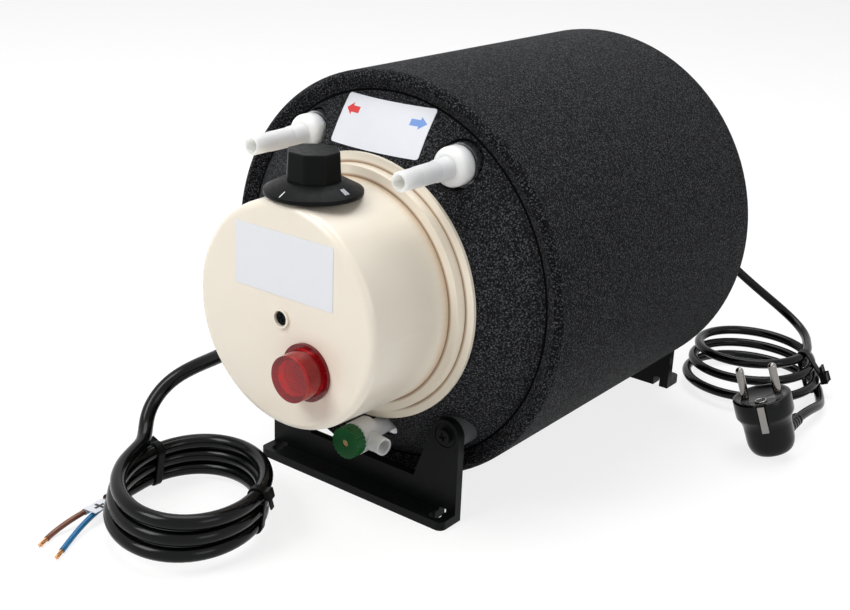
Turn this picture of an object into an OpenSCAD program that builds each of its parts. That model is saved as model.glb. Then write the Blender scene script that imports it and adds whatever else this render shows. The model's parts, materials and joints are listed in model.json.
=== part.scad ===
// Caravan water heater: a small tank in a foam jacket, lying on two feet, with a control housing,
// two hose spigots and a drain valve at its front end, a 12 V supply cable and a mains lead.
// X is to the right, Y to the back and Z up. The origin is on the floor, midway between the feet.
// "Ahead" is a distance from the middle towards the front, and "up" a height above the body's axis.

/* [Body] */
// Radius of the foam jacket
jacket_r = 112; // [106:0.5:116]
// Thickness of the foam jacket
jacket_t = 10.5; // [7:0.5:12]
// Gap between the jacket and the floor
floor_gap = 5.3; // [4.5:0.1:12]
// Distance of the jacket's front rim ahead of the seam
front_lip = 4; // [2:0.5:8]
// Distance of the jacket's rear rim behind the rear seam
rear_lip = 11.3; // [4:0.1:13]
// Rounding of the jacket's front rim
front_round = 4; // [2:0.5:5]
// Rounding of the jacket's rear rim
rear_round = 6; // [2:0.5:8]
// Where the end foam meets the jacket, ahead of the middle
seam_ahead = 100; // [97:0.5:101]
// Radius of the crowned ends
crown_r = 158; // [154:1:175]
// Thickness of the foam on the ends
end_foam_t = 11.5; // [9:0.5:13]
// Wall of the tank
tank_wall = 1.5; // [1:0.1:2.5]

/* [Control housing] */
// Length of the housing, from its flange to its front face
housing_len = 63.1; // [60:0.1:72]
// Radius lost from the step to the front face
housing_draft = 1.5; // [0.5:0.1:2.5]
// Rounding of the front edge
housing_edge = 4.5; // [2:0.5:6]
// Wall of the housing
housing_wall = 2.4; // [1.6:0.1:3.2]
// Width of the raised step
step_w = 6; // [4:0.1:7]
// Height of the raised step
step_h = 5.5; // [4:0.1:8]
// Width of the flange outside the step
flange_w = 5.7; // [4:0.1:7]
// Width of the front foam that shows round the flange
foam_shown = 28.7; // [28:0.1:30]
// Thickness of the flange
flange_t = 1.9; // [1.5:0.1:3]
// Width of the flange's edge that lies on the front foam
flange_lap = 1; // [0.5:0.1:1.5]
// Distance of the rating label from the screw's collar
label_gap = 6.3; // [3:0.05:10]
// Distance of the rating label's top from the housing's edge
label_drop = 15.1; // [13:0.1:20]
// Distance of the rating label's corners from the housing's edge
label_margin = 3.84; // [3:0.02:12]
// Thickness of the labels
label_t = 0.3; // [0.2:0.1:0.6]

/* [Thermostat knob] */
// Diameter of the skirt
knob_d = 49.5; // [46:0.5:54]
// Height of the skirt's upright edge
knob_edge_h = 2.2; // [1:0.1:3]
// Height of the skirt's cone
knob_cone_h = 5; // [3:0.1:6]
// Width across the grip's flats at its foot
grip_foot_w = 26.5; // [24:0.5:30]
// Width across the grip's flats at its top
grip_top_w = 25; // [20:0.5:26]
// Height of the grip
grip_h = 14.5; // [12:0.5:20]
// Distance of the knob's axis behind the front face
knob_back = 22.5; // [20:0.5:26]
// Radius of the spindle
spindle_r = 3; // [2.5:0.1:3.5]
// Number of bars in the mark for warm
tick_count = 4; // [2:1:6]

/* [Pilot lamp] */
// Diameter of the lens at its foot
lens_d = 25.5; // [22:0.5:27]
// Diameter of the lens at its front
lens_front_d = 24; // [20:0.5:25]
// Distance that the lens stands out of the housing
lens_out = 13; // [9:0.5:16]
// Distance of the lamp to the right of the axis
lamp_x = 17.4; // [16:0.2:19]
// Distance of the lamp below the axis
lamp_drop = 23.7; // [22:0.1:25]

/* [Spigots] */
// Distance of the spigots inside the foam's edge
spigot_in = 13.4; // [13:0.1:14.5]
// Angle of the spigots above the axis, in degrees
spigot_turn = 56.5; // [50:0.5:60]
// Radius of the spigot's body
spigot_body_r = 10.3; // [9:0.1:11]
// Length of the spigot's body
spigot_body_len = 10; // [7:0.5:14]
// Length of the hose nozzle
nozzle_len = 37; // [30:0.5:42]
// Radius of the hose nozzle at its tip
nozzle_r = 5; // [4.4:0.1:5.4]
// Bore of the spigot
spigot_bore_r = 3.4; // [2.5:0.1:3.8]

/* [Drain valve] */
// Distance of the drain to the right of the axis
drain_x = 11.5; // [8:0.5:15]
// Distance of the drain outside the housing's opening
drain_out = 7.64; // [7.3:0.02:9]
// Radius of the drain pipe
drain_pipe_r = 5; // [4.5:0.1:5.4]
// Bore of the drain pipe
drain_bore_r = 3.2; // [2:0.1:3.6]
// Radius of the valve's body
drain_body_r = 9; // [8.4:0.1:10]
// Length of the valve's body
drain_body_len = 11.5; // [11:0.1:14]
// Radius of the outlet nozzle
outlet_r = 5.2; // [4.8:0.1:5.3]
// Bore of the outlet nozzle
outlet_bore_r = 3.8; // [3:0.1:4]
// Length of the outlet nozzle, from the valve's axis
outlet_len = 18.5; // [16.5:0.5:26]
// Turn of the outlet nozzle towards the front, in degrees
outlet_turn = 10; // [0:1:10]
// Radius of the drain knob
drain_knob_r = 8.8; // [7.5:0.1:8.9]
// Thickness of the drain knob
drain_knob_t = 7; // [6:0.5:10]
// Number of grip grooves on the drain knob
drain_groove_count = 22; // [12:1:26]

/* [Feet] */
// Gap between the end foam and the foot plates
foot_gap = 0.6; // [0.4:0.1:2]
// Thickness of the foot plates
plate_t = 5; // [3:0.5:6]
// Depth of the foot, from front to back
foot_depth = 17; // [15.5:0.5:24]
// Radius of the ears
ear_r = 9; // [7:0.1:11]
// Height of the bar between the ears
bar_h = 19; // [10:0.5:22]
// Distance of the ears inside the foam's edge
ear_in = 12.05; // [11:0.05:13]
// Height of the ear centres above the floor
ear_z = 49; // [47:0.5:51]
// Width of each ear at the bar, from its centre inwards
ear_w = 19.9; // [15:0.1:26]
// Distance of the base holes outside the ear centres
base_hole_out = 0.7; // [0.2:0.1:2]
// Radius of the base holes
base_hole_r = 3.3; // [3.2:0.1:3.5]
// Width of the slit that opens each base hole
slit_w = 4.4; // [3.5:0.1:4.4]
// Radius of the spacer bushes
bush_r = 9; // [8:0.1:9.5]
// Radius of the foot screws
foot_screw_r = 2.9; // [2:0.1:3]

/* [Supply cable] */
// Diameter of the 12 V cable
cable_d = 8; // [7.4:0.1:8]
// Turns in its coil
coil_turns = 2.95; // [1.95:1:2.95]
// Radius of the top turn
coil_r = 37.4; // [34:0.2:40]
// Growth of the radius with each turn
coil_grow = 0.55; // [0:0.05:1]
// Height of each turn over the next
coil_step = 8.6; // [8.5:0.1:10]
// Stretch of the coil along its long way
coil_stretch = 1.27; // [1:0.01:1.3]
// Diameter of a core
core_d = 3; // [2:0.1:3]

/* [Mains lead] */
// Diameter of the mains lead
lead_d = 6; // [5:0.1:6]
// Loops in its hank
hank_loops = 3; // [1:1:3]
// Radius of the first loop
hank_r = 35; // [32:0.5:38]
// Growth of the radius with each loop
hank_grow = 3; // [0:0.1:3]
// Rise between loops
hank_step = 6.9; // [6.8:0.1:8]
// Spacing of the plug's pins
pin_gap = 19; // [17:0.5:19]
// Diameter of the plug's pins
pin_d = 4.8; // [4:0.1:4.8]
// Length of the plug's pins
pin_len = 19; // [17:0.5:20]
// Radius of the plug's face
plug_r = 18.5; // [17:0.5:19]

/* [Hidden] */
$fn = 64;
// Clearances: seats and soft fits, bores over what passes through them, the overlap of a cut,
// and a gap too small to see
seat = 0.3;
bore_gap = 0.1;
cut = 1;
sliver = 0.05;

// Foam and tank
inner_r = jacket_r - jacket_t;
disc_r = inner_r - seat;
axis_z = jacket_r + floor_gap;
jacket_front = seam_ahead + front_lip;
jacket_rear = seam_ahead + rear_lip;
crown_c = seam_ahead - sqrt(crown_r * crown_r - disc_r * disc_r);
head_c = crown_c - end_foam_t - seat;
foam_root = 40;
function dome(r) = crown_c + sqrt(crown_r * crown_r - r * r);
function head(r) = head_c + sqrt(crown_r * crown_r - r * r);

// Control housing, from its flange to its face
flange_r = disc_r - foam_shown;
step_r = flange_r - flange_w;
housing_r = step_r - step_w;
front_opening_r = flange_r - flange_lap;
housing_back = dome(front_opening_r) + seat;
flange_front = housing_back + flange_t;
step_front = flange_front + step_h;
housing_face = housing_back + housing_len;
face_r = housing_r - housing_draft;
inner_face = housing_face - housing_wall;
function housing_r_at(a) = housing_r - housing_draft * (a - step_front) / (housing_face - step_front);
collar_r = 5.1;
collar_t = 1.2;
label_x = 1;
label_round = 1;
label_low = collar_r + label_gap;
label_top = face_r - label_drop;
label_h = label_top - label_low;
label_corner = face_r - label_margin;
label_w = 2 * (sqrt(label_corner * label_corner - label_top * label_top) - label_x);

// Element flange and what stands on it
neck_r = housing_r - 20.8;
neck_bore_r = neck_r - 10;
neck_rise = 2;
neck_root = 60;
neck_front = head(0) + neck_rise;
gasket_t = 1;
plate_back = neck_front + gasket_t;
element_plate_t = 3;
plate_front = plate_back + element_plate_t;
bolt_ring_r = neck_r - 5;
bolt_count = 6;
bolt_r = 2.5;
bolt_head_r = 4;
bolt_head_t = 3.5;
bolt_into_neck = 5;
rod_r = 4;
rod_half_gap = 0.4 * neck_bore_r;
rod_up = -7;
rod_to = -28;
rod_stub = 11;
pocket_r = 4.5;
pocket_bore_r = 3.6;
pocket_to = 20;
pocket_up = neck_bore_r - pocket_r - 1.5;
sensor_r = 3.2;
capillary_r = 1;
cutout_turn = -60;
cutout_r = 0.2 * neck_bore_r;
cutout_t = 10;
pillar_r = 5;
block_x = [-23, -11];
block_up = [-31, -15];
block_room = 9;
screw_r = 2;
screw_head_r = 3.7;
screw_sink = 1.4;
head_sink = 0.2;
slot_len = 4.6;
slot_w = 1;
slot_deep = 0.8;
slot_turn = 20;

// Thermostat, knob and spindle
knob_ahead = housing_face - knob_back;
knob_sink = 1.3;
knob_flat = housing_r_at(knob_ahead - knob_d / 2) - knob_sink;
knob_foot = knob_flat + seat;
body_half_w = 13;
body_half_len = 14;
body_down = 14.8;
body_h = 26;
body_high = housing_r - body_down;
body_low = body_high - body_h;
bush_top = housing_r_at(knob_ahead) - housing_wall - 2 * seat;
spindle_low = body_high - 12;
spindle_in_knob = 11;
cone_foot_r = knob_d / 2;
cone_top_r = grip_foot_w / 2 + 2;
cone_slope = atan2(knob_cone_h, cone_foot_r - cone_top_r);
tick_len = 6;
tick_bar_len = 4;
tick_w = 0.9;
tick_t = 0.25;
tick_in = 1;
tick_turn = -115;
tick_bar_turn = 17;
tick_bar_step = 4.5;
bracket_t = 2;

// Pilot lamp
lens_flange_d = lens_d + 4.5;
lens_flange_t = 2;
holder_r = 10.8;
holder_len = 20;
lamp_r = 6;

// Rear element and its cap
rear_neck_r = 28;
rear_bore_r = 18;
rear_rod_r = 3.5;
rear_rod_gap = 10;
rear_rod_to = 62;
rear_head_t = 6;
cap_r = 34;
cap_wall = 2;
cap_front = head(cap_r - cap_wall) + seat;
cap_room = 7;
cap_rear = neck_front + gasket_t + rear_head_t + cap_room;
gland_x = 14;
gland_up = -14;
gland_r = 8;
gland_t = 6;
gland_neck_r = 5;
relief_len = 18;

// Spigots and the tubes behind them
spigot_ring_r = disc_r - spigot_in;
spigot_x = spigot_ring_r * cos(spigot_turn);
spigot_up = spigot_ring_r * sin(spigot_turn);
boss_front = head(spigot_ring_r - spigot_body_r - 1) + 1;
seal_t = 1.5;
spigot_back = boss_front + seal_t;
spigot_front = spigot_back + spigot_body_len;
spigot_tip = spigot_front + nozzle_len;
spigot_round = 4;
nozzle_root = 9;
nozzle_grip = 24;
nozzle_step = 0.5;
nozzle_edge = 0.6;
stub_r = 7;
stub_len = 14;
stub_back = boss_front - stub_len;
tube_r = 5.5;
tube_bore_r = 4;
tube_reach = 16;
tube_elbow = stub_back - tube_reach;
dip_up = -spigot_up;
riser_up = spigot_up + 8;
flow_gap = 9.16;
flow_margin = 3.05;
flow_drop = 1.35;
flow_round = 1.5;
flow_w = 2 * (spigot_x - spigot_body_r - flow_gap);
flow_h = disc_r - front_opening_r - 2 * flow_margin;
flow_up = (disc_r + front_opening_r) / 2 - flow_drop;

// Drain valve
drain_r = front_opening_r + drain_out;
drain_drop = sqrt(drain_r * drain_r - drain_x * drain_x);
drain_boss_r = drain_pipe_r + 3;
drain_boss_front = head(drain_r - drain_boss_r) + 1;
drain_back = step_front + 0.7;
drain_front = drain_back + drain_body_len;
chamber_r = 6.2;
chamber_back = drain_back + 2;
chamber_front = drain_front - 1.5;
neck_tube_r = 5;
neck_tube_len = 4;
drain_knob_back = drain_front + 0.7;
stem_r = 2;
outlet_ahead = drain_back + outlet_r + bore_gap;
outlet_grip = 7.5;
outlet_root = outlet_len - outlet_grip;
outlet_step = 0.4;
seal_r = 5.5;
seal_ring_t = 1.2;
nose_r = 3;
valve_disc_t = 2;
valve_seat = chamber_back + 0.2;
stem_front = drain_knob_back + drain_knob_t - 0.8;
groove_r = 0.7;

// Feet
ear_ring_r = disc_r - ear_in;
ear_drop = axis_z - ear_z;
ear_x = sqrt(ear_ring_r * ear_ring_r - ear_drop * ear_drop);
foot_half_w = ear_x + ear_r;
ear_gap = ear_x - ear_w;
base_hole_x = ear_x + base_hole_out;
plate_ahead = dome(ear_ring_r - ear_r) + foot_gap;
plate_face = plate_ahead + plate_t;
foot_front = plate_ahead + foot_depth;
foot_t = 5;
foot_round = 4;
slit_h = foot_t + 1.5;
base_hole_ahead = plate_face + (foot_depth - plate_t) / 2 + 0.1;
recess_r = 6.8;
recess_depth = 1.5;
washer_r = 6.4;
washer_t = 1.2;
foot_head_r = 4.2;
foot_head_t = 2.6;
screw_into_bush = 11;

// Supply cable: its grommet, route and coil
grommet_drop = 35;
grommet_back = 18;
grommet_ahead = housing_face - grommet_back;
grommet_r = 7.5;
grommet_t = 2.5;
grommet_neck_r = 5.8;
grommet_tip = housing_r + 5.2;
cable_start = housing_r - 12.8;
cable_way = [-cos(grommet_drop), 0, -sin(grommet_drop)];
cable_axis = [0, -grommet_ahead, axis_z];
straight = 2;
tie_t = 0.8;
tie_room = 0.3;
tie_side = 1.3;
coil_low = cable_d / 2 + tie_t + tie_room + bore_gap;
coil_c = [-36.4, -grommet_ahead - 45.6];
coil_drift = [-1.3, -0.9];
coil_way = -52;
coil_start = 200;
coil_tail = 22;
function coil_point(t) =
    let (r = coil_r + coil_grow * t, turn = coil_start + 360 * t - coil_way,
         along = coil_stretch * r * cos(turn), across = r * sin(turn))
    [coil_c[0] + coil_drift[0] * t + along * cos(coil_way) - across * sin(coil_way),
     coil_c[1] + coil_drift[1] * t + along * sin(coil_way) + across * cos(coil_way),
     coil_low + coil_step * (coil_turns - t)];
coil_end = coil_point(coil_turns);
coil_in = unit(coil_point(0.005) - coil_point(0));
coil_out = level(coil_end - coil_point(coil_turns - 0.005));
coil_entry = coil_point(0) - cable_d * coil_in;
sheath_end = coil_end + coil_tail * coil_out;
cable_tip = cable_axis + grommet_tip * cable_way;
cable_mid = (cable_tip + coil_entry) / 2 + [-25.9, 1.6, -8.7];
cable_mid_way = heading(-89.5, -42.6);
supply_points = concat(
    [cable_axis + cable_start * cable_way, cable_tip],
    curve(cable_tip, 26 * cable_way, 19.5 * cable_mid_way, cable_mid, 7),
    curve(cable_mid, 14.6 * cable_mid_way, 13.1 * coil_in, coil_entry - straight * coil_in, 7),
    [coil_entry]);
function coil_points(per_turn) =
    let (steps = round(coil_turns * per_turn))
    concat([coil_entry], [for (i = [0 : steps]) coil_point(coil_turns * i / steps)], [sheath_end]);
tie_turns = [0.5, 0.91];
tie_w = 5;

// Cores, their flag and bare ends
core_side = [coil_out[1], -coil_out[0], 0];
core_apart = core_d / 2 + 0.5;
bare_d = 2.2;
bare_len = 8;
flag_len = 13;
flag_from = 2.5;
flag_w = 8.3;
flag_t = 0.4;
brown_start = sheath_end + core_apart * core_side;
blue_start = sheath_end - core_apart * core_side;
core_low = core_d / 2 + 2 * bore_gap;
brown_end = [sheath_end[0] + 2.5, sheath_end[1] - 41.3, core_low];
blue_end = [sheath_end[0] + 17.2, sheath_end[1] - 43.1, core_low];
brown_way = heading(-67, 0);
blue_way = heading(-60, 0);
brown_straight = brown_start + (flag_len + 2 * flag_from) * coil_out;
brown_points = concat([brown_start, brown_straight],
    curve(brown_straight, 8 * coil_out, 7 * brown_way, brown_end - straight * brown_way, 6), [brown_end]);
blue_straight = blue_start + straight * coil_out;
blue_points = concat([blue_start, blue_straight],
    curve(blue_straight, 14 * coil_out, 12 * blue_way, blue_end - straight * blue_way, 8), [blue_end]);

// Mains lead: its route, hank and tail
hank_low = lead_d / 2 + tie_t + tie_room + bore_gap;
hank_c = [97, jacket_rear + 66.2];
hank_drift = [3.8, -8.3];
hank_start = 25.5;
function hank_point(k) =
    let (r = hank_r + hank_grow * k, turn = hank_start - 360 * k)
    [hank_c[0] + hank_drift[0] * k + r * cos(turn), hank_c[1] + hank_drift[1] * k + r * sin(turn),
     hank_low + hank_step * (hank_loops - k)];
hank_in = unit(hank_point(0.005) - hank_point(0));
hank_out = unit(hank_point(hank_loops) - hank_point(hank_loops - 0.005));
hank_entry = hank_point(0) - lead_d * hank_in;
hank_exit = hank_point(hank_loops) + lead_d * hank_out;
gland_z = axis_z + gland_up;
gland_end = cap_rear + gland_t + relief_len;
lead_start = [gland_x, gland_end, gland_z];
lead_mid = (lead_start + hank_entry) / 2 + [-4.3, 29.8, -6.1];
lead_mid_way = heading(19.6, -37.6);
lead_points = concat(
    [[gland_x, cap_rear - cap_wall, gland_z], lead_start],
    curve(lead_start, [0, 40.7, 0], 27.5 * lead_mid_way, lead_mid, 8),
    curve(lead_mid, 30.2 * lead_mid_way, 31.8 * hank_in, hank_entry - straight * hank_in, 8),
    [hank_entry]);
function hank_points(per_turn) = concat(
    [hank_entry],
    [for (i = [0 : hank_loops * per_turn]) hank_point(i / per_turn)],
    [hank_exit]);
relief_x = 158;
relief_z = 9;
relief_front = 72;
relief_back = 112;
relief_start = [relief_x, relief_back, relief_z];
tail_start = hank_exit + straight * hank_out;
tail_points = concat([hank_exit, tail_start],
    curve(tail_start, 20.9 * hank_out, [0, -30.6, 0], relief_start + [0, straight, 0], 8), [relief_start]);
hank_tie_w = 8;
hank_tie_room = 2.4;
hank_tie_at = 0.05;

// Plug, standing on its back with the pins up
plug_c = [149.7, 69, 37.5];
plug_lean = -18.3;
plug_turn = 21.3;
plug_face_t = 5;
plug_ball_r = 14.6;
plug_ball_down = 24;
clip_w = 6;
clip_t = 1;
clip_h = 17;

// Sweep of a tube along a list of points
function unit(v) = v / norm(v);
function level(v) = unit([v[0], v[1], 0]);
function heading(turn, rise) = [cos(turn) * cos(rise), sin(turn) * cos(rise), sin(rise)];
function curve(a, leave, arrive, b, steps) =
    [for (i = [1 : steps]) let (k = i / steps, m = 1 - k)
        m * m * m * a + 3 * m * m * k * (a + leave) + 3 * m * k * k * (b - arrive) + k * k * k * b];
function bend(p, i) = unit(p[i + 1] - p[i]) + unit(p[i] - p[i - 1]);
function way(p, i) =
    i == 0 ? unit(p[1] - p[0]) : i == len(p) - 1 ? unit(p[i] - p[i - 1]) : unit(bend(p, i));
function square_to(n, t) = unit(n - (n * t) * t);
function sides_of(t) =
    [for (i = 0, n = square_to([0.1, 0.2, 1], t[0]); i < len(t); i = i + 1,
          n = square_to(n, t[min(i, len(t) - 1)])) n];
function least_gap(p, d, skip) =
    min([for (i = [0 : len(p) - 1], j = [i + skip : 1 : len(p) - 1]) norm(p[i] - p[j])]) - d;

module tube(p, d, sides) {
    ways = [for (i = [0 : len(p) - 1]) way(p, i)];
    ups = sides_of(ways);
    rings = [for (i = [0 : len(p) - 1], k = [0 : sides - 1])
        p[i] + d / 2 * (cos(360 * k / sides) * ups[i] + sin(360 * k / sides) * cross(ways[i], ups[i]))];
    last = (len(p) - 1) * sides;
    walls = [for (i = [0 : len(p) - 2], k = [0 : sides - 1])
        let (a = i * sides + k, b = i * sides + (k + 1) % sides)
        each [[a, a + sides, b + sides], [a, b + sides, b]]];
    caps = [for (k = [1 : sides - 2]) each [[0, k, k + 1], [last, last + k + 1, last + k]]];
    polyhedron(points = rings, faces = concat(walls, caps), convexity = 10);
}

// Placing: along the body's axis, ahead from a point of the front, and at both ends or sides
module on_axis() translate([0, 0, axis_z]) rotate([90, 0, 0]) children();
module facing(x, up) translate([x, 0, axis_z + up]) rotate([90, 0, 0]) children();
module rear() mirror([0, 1, 0]) children();
module both_ends() {
    children();
    rear() children();
}
module both_sides() {
    children();
    mirror([1, 0, 0]) children();
}
module disc(r, from, to) translate([0, 0, from]) cylinder(r = r, h = to - from);
module ring(r, bore, from, to) difference() {
    disc(r, from, to);
    disc(bore, from - cut, to + cut);
}
module rounded(w, h, r) {
    square([w - 2 * r, h], center = true);
    square([w, h - 2 * r], center = true);
    for (x = [-1, 1], y = [-1, 1]) translate([x * (w / 2 - r), y * (h / 2 - r)]) circle(r);
}
module cross_slot(from, depth) for (turn = [0, 90]) rotate(turn + slot_turn)
    translate([-slot_len / 2, -slot_w / 2, from]) cube([slot_len, slot_w, depth]);
module flat_bar(x, y, from, to)
    translate([x[0], y[0], from]) cube([x[1] - x[0], y[1] - y[0], to - from]);
module band(w, h, t, depth) linear_extrude(depth, center = true) difference() {
    rounded(w + 2 * t, h + 2 * t, 3 + t);
    rounded(w, h, 3);
}

// Tank and foam
module tank_form(less) intersection() {
    cylinder(r = disc_r - less, h = 2 * crown_r, center = true);
    translate([0, 0, head_c]) sphere(crown_r - less, $fn = 128);
    translate([0, 0, -head_c]) sphere(crown_r - less, $fn = 128);
}
module bolt_places() for (i = [0 : bolt_count - 1]) rotate(30 + 360 * i / bolt_count)
    translate([bolt_ring_r, 0, 0]) children();
module tank() color("lightgrey") difference() {
    union() {
        on_axis() tank_form(0);
        on_axis() disc(neck_r, neck_root, neck_front);
        rear() on_axis() disc(rear_neck_r, neck_root, neck_front);
        both_sides() facing(spigot_x, spigot_up) disc(spigot_body_r + 0.5, neck_root, boss_front);
        facing(drain_x, -drain_drop) disc(drain_boss_r, neck_root, drain_boss_front);
    }
    on_axis() tank_form(tank_wall);
    on_axis() disc(neck_bore_r, neck_root, neck_front + cut);
    on_axis() bolt_places() disc(bolt_r + bore_gap, neck_front - bolt_into_neck - seat, neck_front + cut);
    rear() on_axis() disc(rear_bore_r, neck_root, neck_front + cut);
    both_sides() facing(spigot_x, spigot_up) disc(stub_r + bore_gap, neck_root, boss_front + cut);
    facing(drain_x, -drain_drop) disc(drain_pipe_r + bore_gap, neck_root, drain_boss_front + cut);
}

function arc(c, r, from, to, steps) =
    [for (i = [0 : steps]) let (turn = from + (to - from) * i / steps) c + r * [cos(turn), sin(turn)]];
module foam_jacket() color("dimgrey") on_axis() rotate_extrude($fn = 128) polygon(concat(
    [[inner_r, seam_ahead], [inner_r, -jacket_rear]],
    arc([jacket_r - rear_round, rear_round - jacket_rear], rear_round, -90, 0, 8),
    arc([jacket_r - front_round, jacket_front - front_round], front_round, 0, 90, 8)));

module end_foam() intersection() {
    on_axis() disc(disc_r, foam_root, crown_r);
    on_axis() difference() {
        translate([0, 0, crown_c]) sphere(crown_r, $fn = 128);
        translate([0, 0, crown_c - end_foam_t]) sphere(crown_r, $fn = 128);
    }
}
module bush_holes() both_sides() facing(ear_x, ear_z - axis_z) disc(bush_r + seat, foam_root, crown_r);
module foam_front_disc() color("dimgrey") difference() {
    end_foam();
    on_axis() disc(front_opening_r, foam_root, crown_r + cut);
    both_sides() facing(spigot_x, spigot_up) disc(spigot_body_r + 2, foam_root, crown_r);
    facing(drain_x, -drain_drop) disc(drain_boss_r + seat, foam_root, crown_r);
    bush_holes();
}
module foam_rear_disc() color("dimgrey") rear() difference() {
    end_foam();
    on_axis() disc(cap_r + seat, foam_root, crown_r + cut);
    bush_holes();
}

// Front element
module rods(r, half_gap, up, to, from) translate([0, up, 0]) {
    for (side = [-1, 1]) translate([side * half_gap, 0, 0]) disc(r, to, from);
    translate([0, 0, to]) rotate([-90, 0, 0])
        rotate_extrude(angle = 180) translate([half_gap, 0]) circle(r);
}
module element_flange() color("silver") on_axis() difference() {
    disc(neck_r, plate_back, plate_front);
    bolt_places() disc(bolt_r + bore_gap, plate_back - cut, plate_front + cut);
    for (side = [-1, 1]) translate([side * rod_half_gap, rod_up, 0])
        disc(rod_r + bore_gap, plate_back - cut, plate_front + cut);
    translate([0, pocket_up, 0]) disc(pocket_r + bore_gap, plate_back - cut, plate_front + cut);
}
module element_gaskets() color("black") {
    on_axis() difference() {
        ring(neck_r, neck_bore_r, neck_front, plate_back);
        bolt_places() disc(bolt_r + bore_gap, neck_front - cut, plate_back + cut);
    }
    rear() on_axis() ring(rear_neck_r, rear_bore_r, neck_front, plate_back);
}
module flange_bolts() color("silver") on_axis() bolt_places() {
    disc(bolt_r, neck_front - bolt_into_neck, plate_front + cut);
    translate([0, 0, plate_front]) cylinder(r = bolt_head_r, h = bolt_head_t, $fn = 6);
}
module heating_element_12v() color("sienna") on_axis()
    rods(rod_r, rod_half_gap, rod_up, rod_to, plate_front + rod_stub);
module housing_pillar() color("silver") on_axis() difference() {
    disc(pillar_r, plate_front, inner_face - bore_gap);
    disc(screw_r + bore_gap, plate_front + 20, inner_face + cut);
}
module thermal_cutout() color("black")
    facing(neck_bore_r * cos(cutout_turn), neck_bore_r * sin(cutout_turn))
    disc(cutout_r, plate_front, plate_front + cutout_t);
module terminal_block() color("whitesmoke") on_axis()
    flat_bar(block_x, block_up, plate_front, inner_face - block_room);

// Rear element
module rear_element_head() color("silver") rear() on_axis() difference() {
    disc(rear_neck_r, plate_back, plate_back + rear_head_t);
    for (side = [-1, 1]) translate([side * rear_rod_gap, rod_up, 0])
        disc(rear_rod_r + bore_gap, plate_back - cut, plate_back + rear_head_t + cut);
    disc(screw_r + bore_gap, plate_back + 1, plate_back + rear_head_t + cut);
}
module heating_element_230v() color("sienna") rear() on_axis()
    rods(rear_rod_r, rear_rod_gap, rod_up, rear_rod_to, plate_back + rear_head_t + 3);
module rear_terminal_cap() color("ivory") rear() on_axis() difference() {
    disc(cap_r, cap_front, cap_rear);
    disc(cap_r - cap_wall, cap_front - cut, cap_rear - cap_wall);
    disc(screw_r + bore_gap, cap_front, cap_rear + cut);
    translate([gland_x, gland_up, 0]) disc(gland_neck_r + bore_gap, cap_front, cap_rear + cut);
}
module rear_cap_screw() color("silver") rear() on_axis() {
    disc(screw_r, plate_back + 2, cap_rear + cut);
    disc(screw_head_r, cap_rear, cap_rear + 2.4);
}
module mains_gland() color("black") rear() facing(gland_x, gland_up) difference() {
    union() {
        disc(gland_neck_r, cap_rear - cap_wall, cap_rear + cut);
        disc(gland_r, cap_rear, cap_rear + gland_t);
        translate([0, 0, cap_rear + gland_t])
            cylinder(r1 = gland_r - 2, r2 = lead_d / 2 + 1, h = relief_len);
    }
    disc(lead_d / 2 + bore_gap, cap_rear - cap_wall - cut, gland_end + cut);
}

// Thermostat
module thermostat_pocket() color("silver") on_axis() translate([0, pocket_up, 0]) difference() {
    disc(pocket_r, pocket_to, plate_front + 2);
    disc(pocket_bore_r, pocket_to + 2, plate_front + 2 + cut);
}
module thermostat_sensor() color("peru") on_axis() translate([0, pocket_up, 0]) {
    disc(sensor_r, pocket_to + 10, plate_front - 6);
    disc(capillary_r, plate_front - 7, knob_ahead - body_half_len - bore_gap);
}
module thermostat_body() color("ivory") difference() {
    union() {
        on_axis() flat_bar([-body_half_w, body_half_w], [body_low, body_high],
            knob_ahead - body_half_len, knob_ahead + body_half_len);
        at_knob() disc(spindle_r + 2, body_high - cut, bush_top);
    }
    at_knob() disc(spindle_r + bore_gap, spindle_low - 1, bush_top + cut);
}
module thermostat_bracket() color("silver") on_axis() {
    for (side = [0, 1]) mirror([side, 0, 0])
        flat_bar([body_half_w + seat, body_half_w + seat + bracket_t], [body_low + 2, body_high - 2],
            plate_front, knob_ahead + body_half_len + seat + bracket_t);
    flat_bar([-body_half_w - seat - cut, body_half_w + seat + cut], [body_low + 2, body_high - 2],
        knob_ahead + body_half_len + seat, knob_ahead + body_half_len + seat + bracket_t);
}
module at_knob() translate([0, -knob_ahead, axis_z]) children();
module thermostat_spindle() color("silver") at_knob()
    disc(spindle_r, spindle_low, knob_foot + spindle_in_knob);
module thermostat_knob() color("black") at_knob() translate([0, 0, knob_foot]) difference() {
    union() {
        rotate_extrude() polygon([[0, 0], [cone_foot_r, 0], [cone_foot_r, knob_edge_h],
            [cone_top_r, knob_edge_h + knob_cone_h], [0, knob_edge_h + knob_cone_h]]);
        translate([0, 0, knob_edge_h + knob_cone_h - bore_gap]) rotate(22.5) cylinder(
            r1 = grip_foot_w / 2 / cos(22.5), r2 = grip_top_w / 2 / cos(22.5),
            h = grip_h + bore_gap, $fn = 8);
    }
    disc(spindle_r + bore_gap, -cut, spindle_in_knob + seat);
}
module knob_tick(turn, len) rotate(turn) translate([cone_foot_r, 0, sliver]) rotate([0, cone_slope, 0])
    translate([-tick_in - len, -tick_w / 2, 0]) cube([len, tick_w, tick_t]);
module knob_ticks() color("white") at_knob() translate([0, 0, knob_foot + knob_edge_h]) {
    knob_tick(tick_turn, tick_len);
    for (i = [0 : tick_count - 1]) knob_tick(tick_bar_turn + tick_bar_step * i, tick_bar_len);
}

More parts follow.
